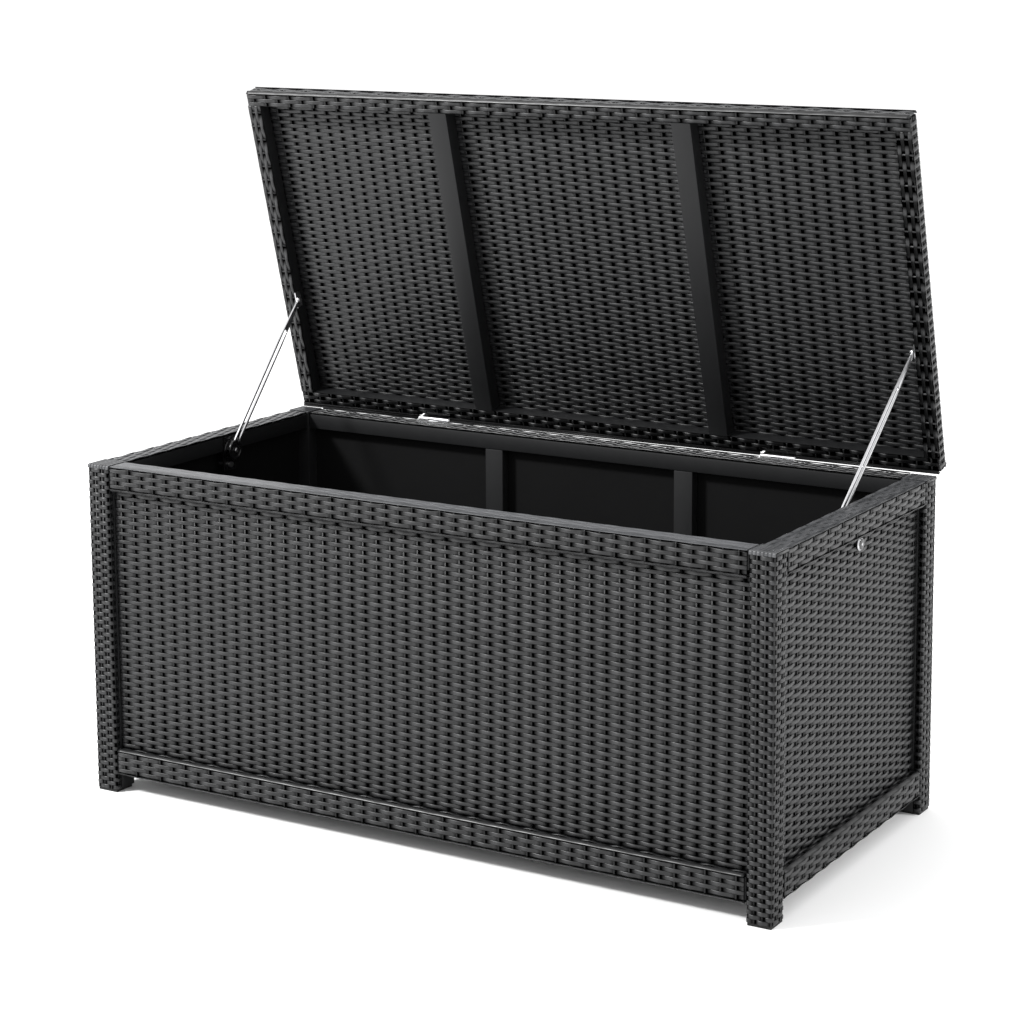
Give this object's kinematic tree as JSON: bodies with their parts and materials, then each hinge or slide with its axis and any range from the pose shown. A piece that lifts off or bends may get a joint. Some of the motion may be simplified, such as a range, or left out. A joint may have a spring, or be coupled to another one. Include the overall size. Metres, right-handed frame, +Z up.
{
  "type": "deck storage box",
  "caption": "Long woven-resin deck storage box on a steel frame, with a hinged lid held open by sliding brake stays.",
  "frame": {"origin": "centre of the footprint of the whole object with the lid open, at the ground under the glides", "axes": "+Z up, +X along the box's length, -Y towards the front, so the lid is hinged on the +Y side"},
  "size_m": [1.221, 0.6176, 1.1159],
  "materials": {
    "wicker": "flat woven resin strand, charcoal grey, slight sheen",
    "coated_steel": "satin dark grey powder coat",
    "liner": "plain black sheet, matt",
    "black_plastic": "moulded black",
    "black_fitting": "gloss black",
    "zinc": "bright zinc plate"
  },
  "bodies": {
    "box_body": {"floor_board": "liner", "front_bottom_rail_steel": "coated_steel", "front_bottom_rail_wicker": "wicker", "front_left_glide": "black_plastic", "front_left_post": "wicker", "front_liner": "liner", "front_panel": "wicker", "front_right_glide": "black_plastic", "front_right_post": "wicker", "front_top_rail_steel": "coated_steel", "front_top_rail_wicker": "wicker", "front_upright_1": "coated_steel", "front_upright_2": "coated_steel", "left_bottom_rail_steel": "coated_steel", "left_bottom_rail_wicker": "wicker", "left_hinge_box_leaf": "zinc", "left_hinge_pin": "zinc", "left_liner": "liner", "left_panel": "wicker", "left_stay_bolt": "zinc", "left_stay_wall_plate": "black_fitting", "left_top_rail_steel": "coated_steel", "left_top_rail_wicker": "wicker", "rear_bottom_rail_steel": "coated_steel", "rear_bottom_rail_wicker": "wicker", "rear_left_glide": "black_plastic", "rear_left_post": "wicker", "rear_liner": "liner", "rear_panel": "wicker", "rear_right_glide": "black_plastic", "rear_right_post": "wicker", "rear_top_rail_steel": "coated_steel", "rear_top_rail_wicker": "wicker", "rear_upright_1": "coated_steel", "rear_upright_2": "coated_steel", "right_bottom_rail_steel": "coated_steel", "right_bottom_rail_wicker": "wicker", "right_hinge_box_leaf": "zinc", "right_hinge_pin": "zinc", "right_liner": "liner", "right_panel": "wicker", "right_stay_bolt": "zinc", "right_stay_wall_plate": "black_fitting", "right_top_rail_steel": "coated_steel", "right_top_rail_wicker": "wicker"},
    "lid": {"left_hinge_lid_leaf": "zinc", "left_stay_lid_bracket": "zinc", "lid_cover": "wicker", "lid_cross_bar_1": "coated_steel", "lid_cross_bar_2": "coated_steel", "lid_frame_front": "coated_steel", "lid_frame_left": "coated_steel", "lid_frame_rear": "coated_steel", "lid_frame_right": "coated_steel", "right_hinge_lid_leaf": "zinc", "right_stay_lid_bracket": "zinc"},
    "left_stay_swivel_body": {"left_stay_drum": "black_fitting"},
    "left_stay_arm_body": {"left_stay_arm": "zinc"},
    "right_stay_swivel_body": {"right_stay_drum": "black_fitting"},
    "right_stay_arm_body": {"right_stay_arm": "zinc"}
  },
  "joints": [
    {"name": "lid_hinge", "type": "hinge", "parent": "box_body", "child": "lid", "pos_m": [0, 0.2774, 0.5405], "axis": [1, 0, 0], "range_deg": [0, 75]},
    {"name": "left_stay_swivel", "type": "hinge", "parent": "box_body", "child": "left_stay_swivel_body", "pos_m": [-0.5579, 0.0042, 0.512], "axis": [1, 0, 0], "range_deg": [-19.89, 0]},
    {"name": "left_stay_slide", "type": "slide", "parent": "left_stay_swivel_body", "child": "left_stay_arm_body", "axis": [-0.0707, 0.7038, 0.7069], "range_m": [-0.2421, 0]},
    {"name": "right_stay_swivel", "type": "hinge", "parent": "box_body", "child": "right_stay_swivel_body", "pos_m": [0.5579, 0.0042, 0.512], "axis": [1, 0, 0], "range_deg": [-19.89, 0]},
    {"name": "right_stay_slide", "type": "slide", "parent": "right_stay_swivel_body", "child": "right_stay_arm_body", "axis": [0.0707, 0.7038, 0.7069], "range_m": [-0.2421, 0]}
  ],
  "couplings": [
    {"joint": "left_stay_swivel", "follows": "lid_hinge", "ratio": -0.26513},
    {"joint": "left_stay_slide", "follows": "lid_hinge", "m_per_rad": -0.18491},
    {"joint": "right_stay_swivel", "follows": "lid_hinge", "ratio": -0.26513},
    {"joint": "right_stay_slide", "follows": "lid_hinge", "m_per_rad": -0.18491}
  ]
}
